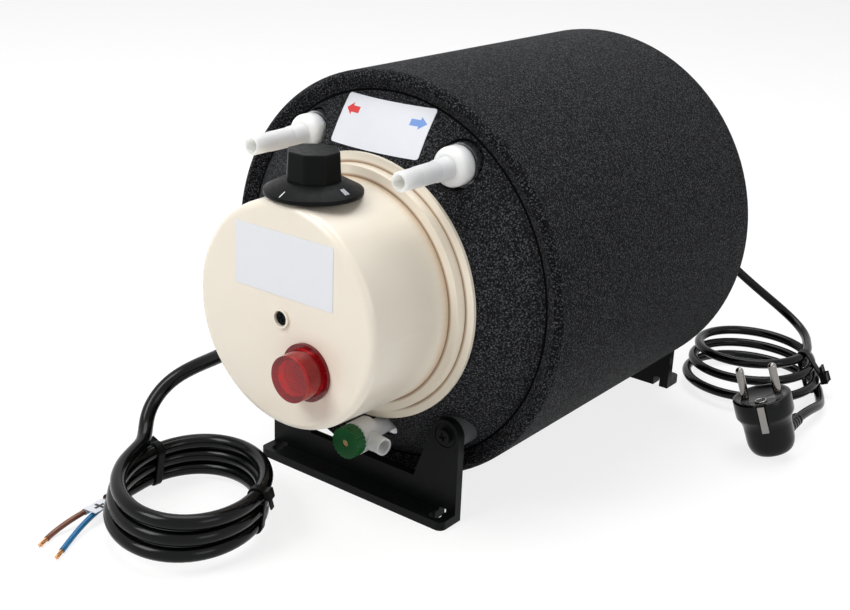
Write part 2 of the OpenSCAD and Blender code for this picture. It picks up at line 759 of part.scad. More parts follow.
// Control housing
module control_housing() color("ivory") difference() {
    union() {
        on_axis() rotate_extrude($fn = 128) polygon(concat(
            [[0, inner_face], [face_r - housing_wall, inner_face],
             [housing_r - housing_wall, step_front - housing_wall],
             [step_r - housing_wall, step_front - housing_wall], [step_r - housing_wall, housing_back],
             [flange_r, housing_back], [flange_r, flange_front], [step_r, flange_front],
             [step_r, step_front], [housing_r, step_front]],
            arc([face_r - housing_edge, housing_face - housing_edge], housing_edge, 0, 90, 8),
            [[0, housing_face]]));
        on_axis() disc(collar_r, inner_face, housing_face + collar_t);
    }
    on_axis() disc(screw_head_r + seat, housing_face - screw_sink, housing_face + collar_t + cut);
    on_axis() disc(screw_r + bore_gap, inner_face - cut, housing_face + cut);
    facing(lamp_x, -lamp_drop) disc(holder_r + bore_gap, inner_face - cut, housing_face + cut);
    at_knob() disc(spindle_r + seat, body_high, housing_r + cut);
    at_knob() disc(knob_d / 2 + seat, knob_flat, housing_r + cut);
    at_grommet() disc(grommet_neck_r + bore_gap, housing_r - housing_wall - 3, housing_r + 3);
}
module housing_screw() color("black") on_axis() difference() {
    union() {
        disc(screw_r, inner_face - 12, housing_face - head_sink);
        disc(screw_head_r, housing_face - screw_sink, housing_face - head_sink);
    }
    cross_slot(housing_face - head_sink - slot_deep, slot_deep + cut);
}
module rating_label() color("gainsboro") facing(label_x, (label_low + label_top) / 2)
    translate([0, 0, housing_face]) linear_extrude(label_t) rounded(label_w, label_h, label_round);
module pilot_lamp_lens() color("red") facing(lamp_x, -lamp_drop) difference() {
    union() {
        disc(lens_flange_d / 2, housing_face, housing_face + lens_flange_t);
        translate([0, 0, housing_face])
            cylinder(d1 = lens_d, d2 = lens_front_d, h = lens_out);
    }
    disc(lamp_r + 3, housing_face - cut, housing_face + lens_out - 3);
}
module pilot_lamp_holder() color("black") facing(lamp_x, -lamp_drop) {
    ring(holder_r, lamp_r, housing_face - holder_len, housing_face - bore_gap);
    disc(holder_r, housing_face - holder_len - 2, housing_face - holder_len + bore_gap);
}

// Spigots
module spigot() color("whitesmoke") facing(spigot_x, spigot_up) difference() {
    union() {
        disc(stub_r, stub_back, spigot_back + cut);
        rotate_extrude() polygon(concat(
            [[0, spigot_back], [spigot_body_r, spigot_back]],
            arc([spigot_body_r - spigot_round, spigot_front - spigot_round], spigot_round, 0, 90, 6),
            [[nozzle_r + 1, spigot_front], [nozzle_r + 0.6, spigot_front + nozzle_root],
             [nozzle_r + 0.3, spigot_front + nozzle_root + nozzle_step],
             [nozzle_r + 0.2, spigot_front + nozzle_grip],
             [nozzle_r, spigot_front + nozzle_grip + nozzle_step],
             [nozzle_r, spigot_tip - nozzle_edge], [nozzle_r - nozzle_edge, spigot_tip],
             [0, spigot_tip]]));
    }
    disc(spigot_bore_r, stub_back - cut, spigot_tip + cut);
}
module cold_inlet_spigot() spigot();
module hot_outlet_spigot() mirror([1, 0, 0]) spigot();
module spigot_seals() color("black") both_sides() facing(spigot_x, spigot_up)
    ring(spigot_body_r - bore_gap, stub_r + 2 * bore_gap, boss_front + sliver, spigot_back - sliver);
module elbow_tube(to_up) {
    reach = to_up - spigot_up;
    difference() {
        facing(spigot_x, spigot_up) {
            disc(tube_r, tube_elbow, stub_back - bore_gap);
            translate([0, 0, tube_elbow]) sphere(tube_r);
            translate([0, 0, tube_elbow]) rotate([reach > 0 ? -90 : 90, 0, 0])
                cylinder(r = tube_r, h = abs(reach));
        }
        facing(spigot_x, spigot_up) {
            disc(tube_bore_r, tube_elbow, stub_back + cut);
            translate([0, 0, tube_elbow]) sphere(tube_bore_r);
            translate([0, 0, tube_elbow]) rotate([reach > 0 ? -90 : 90, 0, 0])
                cylinder(r = tube_bore_r, h = abs(reach) + cut);
        }
    }
}
module inlet_dip_tube() color("white") elbow_tube(dip_up);
module outlet_riser_tube() color("white") mirror([1, 0, 0]) elbow_tube(riser_up);
module flow_label() color("white") intersection() {
    on_axis() difference() {
        translate([0, 0, crown_c]) sphere(crown_r + bore_gap + label_t, $fn = 128);
        translate([0, 0, crown_c]) sphere(crown_r + bore_gap, $fn = 128);
    }
    facing(0, flow_up) linear_extrude(crown_r) rounded(flow_w, flow_h, flow_round);
}

// Drain valve
module at_drain() facing(drain_x, -drain_drop) children();
module drain_pipe() color("whitesmoke") at_drain()
    ring(drain_pipe_r, drain_bore_r, head(drain_r), drain_back);
module outlet_way() translate([0, 0, outlet_ahead]) rotate([0, 90 - outlet_turn, 0]) children();
module drain_valve_body() color("whitesmoke") at_drain() difference() {
    union() {
        disc(drain_body_r, drain_back, drain_front);
        disc(neck_tube_r, drain_front - cut, drain_front + neck_tube_len);
        outlet_way() cylinder(r = outlet_r, h = outlet_root);
        outlet_way() cylinder(r = outlet_r - outlet_step, h = outlet_len);
    }
    disc(drain_bore_r, drain_back - cut, chamber_back + cut);
    disc(chamber_r, chamber_back, chamber_front);
    disc(stem_r + bore_gap, chamber_front - cut, drain_front + neck_tube_len + cut);
    outlet_way() cylinder(r = outlet_bore_r, h = outlet_len + cut);
}
module drain_knob() color("limegreen") at_drain() difference() {
    disc(drain_knob_r, drain_knob_back, drain_knob_back + drain_knob_t);
    disc(neck_tube_r + seat, drain_knob_back - cut, drain_front + neck_tube_len + seat);
    disc(stem_r + bore_gap, drain_knob_back, drain_knob_back + drain_knob_t + cut);
    for (i = [0 : drain_groove_count - 1]) rotate(360 * i / drain_groove_count)
        translate([drain_knob_r + groove_r / 3, 0, 0]) disc(groove_r, drain_knob_back - cut,
            drain_knob_back + drain_knob_t + cut);
}
module drain_plunger() color("tan") at_drain() {
    disc(nose_r, valve_seat, valve_seat + seal_ring_t + cut);
    disc(seal_r, valve_seat + seal_ring_t, valve_seat + seal_ring_t + valve_disc_t);
    disc(stem_r, valve_seat + seal_ring_t, stem_front);
}
module drain_seal() color("black") at_drain()
    ring(seal_r, nose_r + bore_gap, valve_seat, valve_seat + seal_ring_t - 0.05);

// Feet
ear_side = [ear_x - ear_gap, ear_z - bar_h];
ear_way = atan2(ear_side[1], ear_side[0]) + asin(ear_r / norm(ear_side));
ear_touch = [ear_gap, bar_h]
    + sqrt(norm(ear_side) * norm(ear_side) - ear_r * ear_r) * [cos(ear_way), sin(ear_way)];
module foot_outline() {
    translate([-foot_half_w, 0]) square([2 * foot_half_w, bar_h]);
    for (side = [0, 1]) mirror([side, 0]) {
        polygon([[ear_gap, bar_h - cut], [ear_gap, bar_h], ear_touch, [ear_x, ear_z], [foot_half_w, ear_z],
            [foot_half_w, bar_h - cut]]);
        translate([ear_x, ear_z]) circle(ear_r);
    }
}
module foot() color("black") difference() {
    union() {
        rotate([90, 0, 0]) translate([0, 0, plate_ahead]) linear_extrude(plate_t) foot_outline();
        translate([-foot_half_w, -foot_front + foot_round, 0])
            cube([2 * foot_half_w, foot_depth - foot_round, foot_t]);
        translate([foot_round - foot_half_w, -foot_front, 0])
            cube([2 * (foot_half_w - foot_round), foot_round + cut, foot_t]);
        both_sides() translate([foot_half_w - foot_round, -foot_front + foot_round, 0])
            cylinder(r = foot_round, h = foot_t);
    }
    both_sides() {
        facing(ear_x, ear_z - axis_z) {
            disc(foot_screw_r + 2 * bore_gap, plate_ahead - cut, plate_face + cut);
            disc(recess_r, plate_face - recess_depth, plate_face + cut);
        }
        translate([base_hole_x, -base_hole_ahead, -cut]) cylinder(r = base_hole_r, h = foot_t + 2 * cut);
        translate([base_hole_x - slit_w / 2, -base_hole_ahead, -cut])
            cube([slit_w, foot_depth, slit_h + cut]);
    }
}
module front_bracket() foot();
module rear_bracket() rear() foot();
module at_ears() both_ends() both_sides() facing(ear_x, ear_z - axis_z) children();
module bracket_bushes() color("gainsboro") both_ends() difference() {
    both_sides() facing(ear_x, ear_z - axis_z) difference() {
        disc(bush_r, neck_root, plate_ahead);
        disc(foot_screw_r + bore_gap, plate_ahead - screw_into_bush - seat, plate_ahead + cut);
    }
    on_axis() tank_form(-bore_gap);
}
module bracket_washers() color("black") at_ears()
    ring(washer_r, foot_screw_r + bore_gap,
        plate_face - recess_depth, plate_face - recess_depth + washer_t);
module bracket_screws() color("black") at_ears() difference() {
    union() {
        disc(foot_screw_r, plate_ahead - screw_into_bush, plate_face);
        disc(foot_head_r, plate_face - recess_depth + washer_t,
            plate_face - recess_depth + washer_t + foot_head_t);
    }
    cross_slot(plate_face + 1, foot_head_t);
}

// Supply cable
module at_grommet() translate(cable_axis) rotate([0, -90 - grommet_drop, 0]) children();
module supply_grommet() color("black") at_grommet() difference() {
    union() {
        disc(grommet_neck_r, cable_start + 2, grommet_tip);
        disc(grommet_r, housing_r + 0.6, housing_r + 0.6 + grommet_t);
    }
    disc(cable_d / 2 + bore_gap, cable_start, grommet_tip + cut);
}
module supply_cable() color("black") tube(supply_points, cable_d, 10);
module supply_coil() color("black") tube(coil_points(24), cable_d, 6);
module coil_tie(turn) {
    bound = [for (t = [turn : coil_turns]) coil_point(t)];
    across = level(cross([0, 0, 1], coil_point(turn + 0.005) - coil_point(turn)));
    offs = [for (p = bound) (p - bound[0]) * across];
    highs = [for (p = bound) p[2]];
    wide = max(offs) - min(offs) + cable_d + 2 * tie_side;
    tall = max(highs) - min(highs) + cable_d + 2 * tie_room;
    mid = bound[0] + (max(offs) + min(offs)) / 2 * across;
    translate([mid[0], mid[1], (max(highs) + min(highs)) / 2])
        rotate([90, 0, atan2(across[1], across[0])]) band(wide, tall, tie_t, tie_w);
}
module coil_ties() color("black") for (turn = tie_turns) coil_tie(turn);
module brown_core() color("saddlebrown") tube(brown_points, core_d, 8);
module blue_core() color("steelblue") tube(blue_points, core_d, 8);
module bare_end(p) {
    out = way(p, len(p) - 1);
    tube([p[len(p) - 1], p[len(p) - 1] + bare_len * out], bare_d, 8);
}
module copper_ends() color("orange") {
    bare_end(brown_points);
    bare_end(blue_points);
}
module polarity_flag() color("white") translate(brown_start + flag_from * coil_out)
    rotate([0, 0, atan2(coil_out[1], coil_out[0])]) rotate([0, 90, 0]) difference() {
        union() {
            cylinder(d = core_d + 2 * flag_t, h = flag_len);
            translate([-core_d / 2 - 2 * bore_gap - flag_t, 0, 0]) cube([flag_t, flag_w, flag_len]);
        }
        translate([0, 0, -cut]) cylinder(d = core_d + 2 * bore_gap, h = flag_len + 2 * cut);
    }

// Mains lead and plug
module mains_lead() color("black") tube(lead_points, lead_d, 8);
module mains_hank() color("black") tube(hank_points(24), lead_d, 6);
module mains_tail() color("black") tube(tail_points, lead_d, 8);
module hank_tie() color("black") {
    top = hank_point(hank_tie_at);
    low = hank_point(hank_loops - hank_tie_at);
    across = [-hank_in[1], hank_in[0], 0];
    wide = abs((low - top) * across) + lead_d + 2 * hank_tie_room;
    tall = top[2] - low[2] + lead_d + 3 * tie_room;
    translate((top + low) / 2) rotate([90, 0, atan2(across[1], across[0])])
        band(wide, tall, tie_t, hank_tie_w);
}
module at_plug() translate(plug_c) rotate([0, plug_lean, plug_turn]) children();
module plug_body() color("black") {
    difference() {
        at_plug() hull() {
            translate([0, 0, -plug_face_t]) cylinder(r = plug_r, h = plug_face_t, $fn = 40);
            translate([0, 0, -plug_ball_down]) sphere(plug_ball_r, $fn = 32);
        }
        at_plug() clips(clip_t + 2 * bore_gap, clip_h + 2 * bore_gap, clip_w + 2 * bore_gap);
    }
    translate([relief_x, relief_back, relief_z]) rotate([90, 0, 0]) {
        cylinder(r1 = lead_d / 2 + 1, r2 = lead_d / 2 + 3, h = relief_back - relief_front);
    }
}
module clips(t, h, w) for (side = [0, 1]) mirror([0, side, 0])
    translate([-w / 2, plug_r - t - 1.2, -h]) cube([w, t, h + cut]);
module plug_pins() color("silver") at_plug() for (side = [-1, 1]) translate([side * pin_gap / 2, 0, 0]) {
    cylinder(d = pin_d, h = pin_len - pin_d / 2);
    translate([0, 0, pin_len - pin_d / 2]) sphere(d = pin_d);
}
module plug_earth_contacts() color("silver") at_plug() clips(clip_t, clip_h, clip_w);

gap_steps = 72;
echo("least gap between turns of the coil", least_gap(coil_points(gap_steps), cable_d, gap_steps / 2));
echo("least gap between loops of the hank", least_gap(hank_points(gap_steps), lead_d, gap_steps / 2));

tank();
foam_jacket();
foam_front_disc();
foam_rear_disc();
element_flange();
element_gaskets();
flange_bolts();
heating_element_12v();
heating_element_230v();
rear_element_head();
rear_terminal_cap();
rear_cap_screw();
thermostat_pocket();
thermostat_sensor();
thermostat_body();
thermostat_bracket();
thermostat_spindle();
thermal_cutout();
terminal_block();
housing_pillar();
control_housing();
housing_screw();
rating_label();
pilot_lamp_lens();
pilot_lamp_holder();
thermostat_knob();
knob_ticks();
hot_outlet_spigot();
cold_inlet_spigot();
spigot_seals();
outlet_riser_tube();
inlet_dip_tube();
drain_pipe();
drain_valve_body();
drain_knob();
drain_plunger();
drain_seal();
front_bracket();
rear_bracket();
bracket_bushes();
bracket_screws();
bracket_washers();
flow_label();
supply_grommet();
supply_cable();
supply_coil();
coil_ties();
polarity_flag();
brown_core();
blue_core();
copper_ends();
mains_gland();
mains_lead();
mains_hank();
mains_tail();
hank_tie();
plug_body();
plug_pins();
plug_earth_contacts();
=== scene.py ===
"""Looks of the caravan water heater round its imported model: camera, light, materials, cords and details.

Points are in the part's own frame, in millimetres until a Blender object is made of them.
"""
import json
from math import cos, pi, radians, sin, sqrt
import bmesh
import bpy
from mathutils import Matrix, Vector


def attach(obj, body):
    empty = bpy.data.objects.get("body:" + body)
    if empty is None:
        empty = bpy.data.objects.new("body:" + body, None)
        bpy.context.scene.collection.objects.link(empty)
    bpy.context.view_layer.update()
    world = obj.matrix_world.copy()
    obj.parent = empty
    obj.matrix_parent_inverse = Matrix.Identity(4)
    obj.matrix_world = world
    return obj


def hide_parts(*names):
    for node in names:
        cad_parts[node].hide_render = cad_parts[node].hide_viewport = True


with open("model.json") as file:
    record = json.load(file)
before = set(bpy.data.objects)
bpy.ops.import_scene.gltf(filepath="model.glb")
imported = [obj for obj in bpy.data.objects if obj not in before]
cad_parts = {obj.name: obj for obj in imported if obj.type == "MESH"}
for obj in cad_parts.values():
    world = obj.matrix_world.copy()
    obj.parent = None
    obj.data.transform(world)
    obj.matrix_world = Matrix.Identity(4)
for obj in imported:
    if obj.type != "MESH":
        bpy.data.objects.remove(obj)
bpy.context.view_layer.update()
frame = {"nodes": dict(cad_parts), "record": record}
nodes = frame["nodes"]
scene = bpy.context.scene
scene.view_settings.view_transform = "Standard"

# Sizes of the part, as in its source: millimetres, and degrees for angles
MM = 0.001
AXIS_Z = 117.3
HOUSING_R, STEP_R = 60.8, 66.8
CROWN_R, DISC_R, SEAM = 158, 101.2, 100
CROWN_C = SEAM - sqrt(CROWN_R ** 2 - DISC_R ** 2)
LABEL_THICK = 0.4
KNOB_Y, KNOB_Z = -160.459, 176.872
KNOB_CONE = ((24.5, 2.3), (15.5, 7.05))
CABLE_D, LEAD_D, CORE_D, CORE_GAP = 8, 6, 3, 0.5
GROMMET_AHEAD, GROMMET_OUT, CABLE_IN, CABLE_FALL = 164.959, 5.2, 12.8, -35
COIL_TURNS, COIL_LOW, COIL_PITCH = 2.95, 5.2, 8.6
COIL_R, COIL_GROW, COIL_OVAL = 37.4, 0.55, 1.27
COIL_START, COIL_LEAN = 200, 52
COIL_X, COIL_Y = -36.4, -GROMMET_AHEAD - 45.6
COIL_DRIFT_X, COIL_DRIFT_Y = -1.3, -0.9
SHEATH_ON = 22
GLAND_X, GLAND_Z, LEAD_START_Y, LEAD_FREE_Y = 14, 103.3, 137.9, 164
HANK_TURNS, HANK_LOW, HANK_PITCH = 3, 4.2, 6.9
HANK_R, HANK_GROW, HANK_START = 35, 3, 25.5
HANK_X, HANK_Y = 97, 177.5
HANK_DRIFT_X, HANK_DRIFT_Y = 3.8, -8.3
RELIEF_BACK = Vector((158, 112, 9))
PLUG_AT, PLUG_TURN, PLUG_LEAN = (149.7, 69, 37.5), 21.3, -18.3

STRAIGHT = 2               # straight stretch of a cord before it meets a wound one
TINY = 0.005               # part of a turn that gives a wound cord's direction
AXIS_R = 0.01              # radius at which a turned shape closes on its axis
PRINT_LIFT = (-0.05, 0.06)
UPRIGHT = Vector((0, 0, 1))

# Camera, fitted to the photograph: degrees, metres, and millimetres for the lens
CAMERA_TURN, CAMERA_RISE, CAMERA_ROLL = 37.28, 20.72, 2.30
CAMERA_PLACE = (0.41716, -0.61493, 0.35283)
LENS, SENSOR, NEAR, FAR = 55.13, 36, 0.02, 60


def make_camera():
    turn, rise, roll = radians(CAMERA_TURN), radians(CAMERA_RISE), radians(CAMERA_ROLL)
    back = Vector((sin(turn) * cos(rise), -cos(turn) * cos(rise), sin(rise)))
    right = Vector((cos(turn), sin(turn), 0))
    up = back.cross(right)
    across = cos(roll) * right + sin(roll) * up
    upward = cos(roll) * up - sin(roll) * right
    data = bpy.data.cameras.new("camera")
    data.lens, data.sensor_width, data.clip_start, data.clip_end = LENS, SENSOR, NEAR, FAR
    camera = bpy.data.objects.new("camera", data)
    camera.matrix_world = Matrix((across, upward, back)).transposed().to_4x4()
    camera.location = CAMERA_PLACE
    scene.collection.objects.link(camera)
    scene.camera = camera


make_camera()

# Materials
NOISE_LOW, NOISE_HIGH = 0.3, 0.7    # nearly all values of a noise lie between these
CREAM = (233, 224, 208)


def linear(red, green, blue):
    """Linear colour from the three sRGB levels of a screen."""
    def one(c):
        c /= 255
        return c / 12.92 if c <= 0.04045 else ((c + 0.055) / 1.055) ** 2.4
    return one(red), one(green), one(blue), 1


def add_node(tree, kind, **settings):
    """A shader node; each setting is the value of a socket, or else a property."""
    node = tree.nodes.new("ShaderNode" + kind)
    for key, value in settings.items():
        if key in node.inputs:
            node.inputs[key].default_value = value
        else:
            setattr(node, key, value)
    return node


class Material:
    """A Principled material with a few helpers for its nodes."""

    def __init__(self, name, colour, rough, metal=0.0, **sockets):
        self.material = bpy.data.materials.new(name)
        self.material.use_nodes = True
        self.tree = self.material.node_tree
        self.shader = self.tree.nodes["Principled BSDF"]
        self.colour = linear(*colour)
        self.set("Base Color", self.colour)
        self.set("Roughness", rough)
        self.set("Metallic", metal)
        for key, value in sockets.items():
            self.set(key.replace("_", " ").title().replace("Ior", "IOR"), value)
        self.material.diffuse_color = self.colour

    def set(self, socket, value):
        self.shader.inputs[socket].default_value = value

    def add(self, kind, **settings):
        return add_node(self.tree, kind, **settings)

    def link(self, a, b):
        self.tree.links.new(a, b)

    def paint(self, tone):
        self.link(tone, self.shader.inputs["Base Color"])
        return self

    def place(self):
        return self.add("TexCoord").outputs["Object"]

    def noise(self, scale, detail=3.0, rough=0.55, place=None):
        node = self.add("TexNoise", Scale=scale, Detail=detail, Roughness=rough)
        self.link(place or self.place(), node.inputs["Vector"])
        return node.outputs["Fac"]

    def ramp(self, value, stops):
        node = self.add("ValToRGB")
        elements = node.color_ramp.elements
        while len(elements) < len(stops):
            elements.new(0.5)
        for element, (position, colour) in zip(elements, stops):
            element.position, element.color = position, colour
        self.link(value, node.inputs["Fac"])
        return node.outputs["Color"]

    def span(self, value, first, last, low=0.0, high=1.0):
        """Moves a value from one range to another."""
        node = self.add("MapRange", **{"From Min": first, "From Max": last, "To Min": low, "To Max": high})
        self.link(value, node.inputs["Value"])
        return node.outputs["Result"]

    def vary(self, scale, share, detail=3.0):
        """Colour that wanders by a share round its value."""
        dark = tuple(c * (1 - share) for c in self.colour[:3]) + (1,)
        light = tuple(min(1, c * (1 + share)) for c in self.colour[:3]) + (1,)
        return self.paint(self.ramp(self.noise(scale, detail), [(NOISE_LOW, dark), (NOISE_HIGH, light)]))

    def gloss(self, scale, low, high, detail=3.0):
        """Roughness that wanders between two values."""
        level = self.span(self.noise(scale, detail), NOISE_LOW, NOISE_HIGH, low, high)
        self.link(level, self.shader.inputs["Roughness"])
        return self

    def bump(self, height, strength, distance):
        node = self.add("Bump", Strength=strength, Distance=distance)
        self.link(height, node.inputs["Height"])
        self.link(node.outputs["Normal"], self.shader.inputs["Normal"])
        return self

    def grain(self, scale, strength, distance, detail=2.0):
        return self.bump(self.noise(scale, detail), strength, distance)


def make_foam(name, low, mid, high):
    """Closed-cell foam: a fine grain of small beads, with painted highlight on their tops and painted shade,
    nearly black, between them.
    """
    bead_scale, bead_depth, fine_scale = 960, -0.55, 1400
    foam = Material(name, (26, 27, 29), 0.62, specular_ior_level=0.03, sheen_weight=0.03, sheen_roughness=0.3)
    place = foam.place()
    beads = foam.add("TexVoronoi", Scale=bead_scale)
    foam.link(place, beads.inputs["Vector"])
    fine = foam.noise(fine_scale, 1.5, 0.6, place)
    height = foam.add("Math", operation="MULTIPLY_ADD")
    height.inputs[1].default_value = bead_depth
    foam.link(beads.outputs["Distance"], height.inputs[0])
    foam.link(fine, height.inputs[2])
    foam.bump(height.outputs["Value"], 1.0, 0.0013)
    # painted highlight and shade: the colour follows the grain's height, light on the beads and dark in the
    # pits
    foam.paint(foam.ramp(height.outputs["Value"], [
        (0.08, linear(low, low, low + 1)),
        (0.27, linear(mid, mid + 1, mid + 3)),
        (0.5, linear(high, high + 1, high + 6)),
    ]))
    return foam.gloss(300, 0.5, 0.68).material


def make_housing():
    """Cream plastic with painted shade, brown, in the two corners where the steps of the housing meet."""
    cream = Material("cream_housing", CREAM, 0.34, coat_weight=0.3, coat_roughness=0.18)
    cream.gloss(40, 0.31, 0.37, 1.0).grain(2600, 0.04, 0.0001, 1.0)
    # distance from the axis of the housing, which runs along y
    split = cream.add("SeparateXYZ")
    cream.link(cream.place(), split.inputs[0])
    rise = cream.add("Math", operation="SUBTRACT")
    rise.inputs[1].default_value = AXIS_Z * MM
    cream.link(split.outputs["Z"], rise.inputs[0])
    flat = cream.add("CombineXYZ")
    cream.link(split.outputs["X"], flat.inputs["X"])
    cream.link(rise.outputs[0], flat.inputs["Y"])
    reach = cream.add("VectorMath", operation="LENGTH")
    cream.link(flat.outputs[0], reach.inputs[0])
    first, last = HOUSING_R - 1, HOUSING_R + 9
    share = cream.span(reach.outputs["Value"], first * MM, last * MM)
    # painted shade: a soft and a deep brown tone at the foot of each step, where shade falls
    plain, soft, painted_shade = linear(*CREAM), linear(214, 194, 168), linear(152, 122, 94)
    stops = [
        (HOUSING_R - 0.2, plain), (HOUSING_R, soft), (HOUSING_R + 0.12, painted_shade), (HOUSING_R + 0.6, painted_shade),
        (HOUSING_R + 2, plain), (STEP_R + 0.04, plain), (STEP_R + 0.15, painted_shade), (STEP_R + 0.6, painted_shade),
        (STEP_R + 2, plain),
    ]
    return cream.paint(cream.ramp(share, [((r - first) / (last - first), c) for r, c in stops])).material


def make_materials():
    """The materials by slot: those of the record, and a few more of the scene's own."""
    made = {"foam": make_foam("foam", 10, 26, 94), "end_foam": make_foam("end_foam", 22, 42, 98),
            "housing": make_housing()}

    def new(slot, colour, rough, metal=0.0, name=None, **sockets):
        item = Material(name or slot, colour, rough, metal, **sockets)
        made[slot] = item.material
        return item

    new("ivory_plastic", CREAM, 0.34, name="cream_plastic", coat_weight=0.1, coat_roughness=0.25) \
        .vary(9, 0.006, 1.0).gloss(40, 0.31, 0.37, 1.0).grain(2600, 0.04, 0.0001, 1.0)
    new("white_print", (217, 219, 225), 0.5).vary(60, 0.02).grain(1500, 0.06, 0.0001)
    new("pale_label", (224, 226, 230), 0.42) \
        .vary(12, 0.008, 1.0).gloss(120, 0.36, 0.48).grain(2200, 0.04, 0.0001)
    new("red_lens", (222, 8, 26), 0.06, ior=1.45, transmission_weight=0.82, specular_ior_level=0.3) \
        .vary(160, 0.06).gloss(240, 0.05, 0.09)
    new("black_plastic", (12, 13, 13), 0.4, specular_ior_level=0.08) \
        .vary(90, 0.12).gloss(320, 0.34, 0.48).grain(1400, 0.08, 0.00015)
    new("white_plastic", (238, 239, 235), 0.36, name="milky_plastic", subsurface_weight=1.0,
        subsurface_radius=(0.01, 0.01, 0.009), subsurface_scale=1.0, ior=1.46) \
        .vary(120, 0.02).gloss(260, 0.3, 0.42).grain(900, 0.05, 0.0002)
    new("bush_plastic", (74, 76, 78), 0.5, specular_ior_level=0.3).vary(120, 0.05).grain(1000, 0.1, 0.0002)
    new("green_plastic", (16, 84, 38), 0.3, subsurface_weight=0.1,
        subsurface_radius=(0.001, 0.003, 0.001), subsurface_scale=1.0).vary(180, 0.08).gloss(300, 0.28, 0.4)
    new("tan_plastic", (196, 160, 112), 0.5).vary(300, 0.06).grain(900, 0.08, 0.0002)
    new("black_metal", (13, 14, 15), 0.42, specular_ior_level=0.09) \
        .vary(80, 0.15).gloss(240, 0.3, 0.46).grain(1200, 0.12, 0.0002)
    new("steel", (196, 197, 199), 0.3, 1.0).vary(200, 0.05).gloss(500, 0.22, 0.38)
    new("element_sheath", (120, 96, 82), 0.4, 1.0).vary(180, 0.2)
    new("seal_rubber", (28, 28, 28), 0.7).vary(200, 0.15).grain(1200, 0.1, 0.0002)
    new("copper", (222, 168, 118), 0.3, 1.0).vary(700, 0.12).gloss(900, 0.2, 0.36)
    new("black_sheath", (7, 8, 8), 0.18, specular_ior_level=0.17) \
        .vary(120, 0.15).gloss(300, 0.13, 0.21).grain(1600, 0.05, 0.0002)
    new("brown_sheath", (112, 66, 44), 0.4).vary(260, 0.08).gloss(400, 0.32, 0.46)
    new("blue_sheath", (12, 100, 150), 0.4).vary(260, 0.08).gloss(400, 0.32, 0.46)
    new("plated_pins", (138, 135, 132), 0.22, 1.0).vary(250, 0.04).gloss(600, 0.12, 0.26)
    new("red_print", (206, 40, 38), 0.5).vary(300, 0.04)
    new("blue_print", (96, 140, 208), 0.5).vary(300, 0.04)
    # painted shadow: near-black matt colour for the ring in the front seam's groove
    new("seam_painted_shadow", (6, 6, 7), 0.8, specular_ior_level=0.03).vary(300, 0.2)
    new("black_print", (24, 24, 26), 0.5).vary(300, 0.08)
    return made


materials = make_materials()


def dress(thing, slot):
    thing.data.materials.clear()
    thing.data.materials.append(materials[slot])


for entry in frame["record"]["subparts"]:
    dress(nodes[entry["node"]], entry["material_slot"])
dress(nodes["control_housing"], "housing")
# painted light: the end discs get a lighter copy of the jacket's foam
for end in ("foam_front_disc", "foam_rear_disc"):
    dress(nodes[end], "end_foam")


# Ways to make a piece
def axes(origin, x, y, z):
    return Matrix.Translation(origin) @ Matrix((x, y, z)).transposed().to_4x4()


def piece(name, data, slot, body="heater"):
    thing = bpy.data.objects.new(name, data)
    scene.collection.objects.link(thing)
    dress(thing, slot)
    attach(thing, body)
    return thing


def mesh_piece(name, verts, faces, slot, body="heater", smooth=True):
    data = bpy.data.meshes.new(name)
    data.from_pydata([tuple(Vector(v) * MM) for v in verts], [], faces)
    data.validate()
    build = bmesh.new()
    build.from_mesh(data)
    bmesh.ops.recalc_face_normals(build, faces=build.faces)
    build.to_mesh(data)
    build.free()
    for face in data.polygons:
        face.use_smooth = smooth
    return piece(name, data, slot, body)


def bmesh_piece(name, build, slot, body="heater"):
    data = bpy.data.meshes.new(name)
    bmesh.ops.recalc_face_normals(build, faces=build.faces)
    bmesh.ops.scale(build, vec=(MM, MM, MM), verts=build.verts)
    build.to_mesh(data)
    build.free()
    return piece(name, data, slot, body)


def cord_piece(name, points, diameter, slot):
    """A round cord through points, both in metres."""
    data = bpy.data.curves.new(name, "CURVE")
    data.dimensions = "3D"
    data.bevel_depth = diameter / 2
    data.bevel_resolution = 6
    data.use_fill_caps = True
    spline = data.splines.new("POLY")
    spline.points.add(len(points) - 1)
    for target, point in zip(spline.points, points):
        target.co = (*point, 1)
    spline.use_smooth = True
    return piece(name, data, slot)


def lathe(name, profile, place, slot, body="heater", sides=64, hollow=False, limit=None):
    """Turns (radius, height) pairs round the z axis of a placing.

    A hollow one is a ring with a closed profile. A limit caps the radius by angle and height.
    """
    verts, faces = [], []
    for radius, height in profile:
        for k in range(sides):
            turn = 2 * pi * k / sides
            r = min(radius, limit(turn, height)) if limit else radius
            verts.append(place @ Vector((r * cos(turn), r * sin(turn), height)))
    count = len(profile)
    for i in range(count if hollow else count - 1):
        low, high = i * sides, (i + 1) % count * sides
        for k in range(sides):
            n = (k + 1) % sides
            faces.append((low + k, low + n, high + n, high + k))
    if not hollow:
        faces += [tuple(range(sides))[::-1], tuple(range((count - 1) * sides, count * sides))]
    return mesh_piece(name, verts, faces, slot, body)


def prism(name, outline, place, slot):
    """Thin printed shape from an outline; place puts (u, v, height) on the surface that it lies on."""
    count = len(outline)
    verts = [place(u, v, h) for h in PRINT_LIFT for u, v in outline]
    faces = [tuple(range(count))[::-1], tuple(range(count, 2 * count))]
    faces += [(k, (k + 1) % count, count + (k + 1) % count, count + k) for k in range(count)]
    return mesh_piece(name, verts, faces, slot, smooth=False)


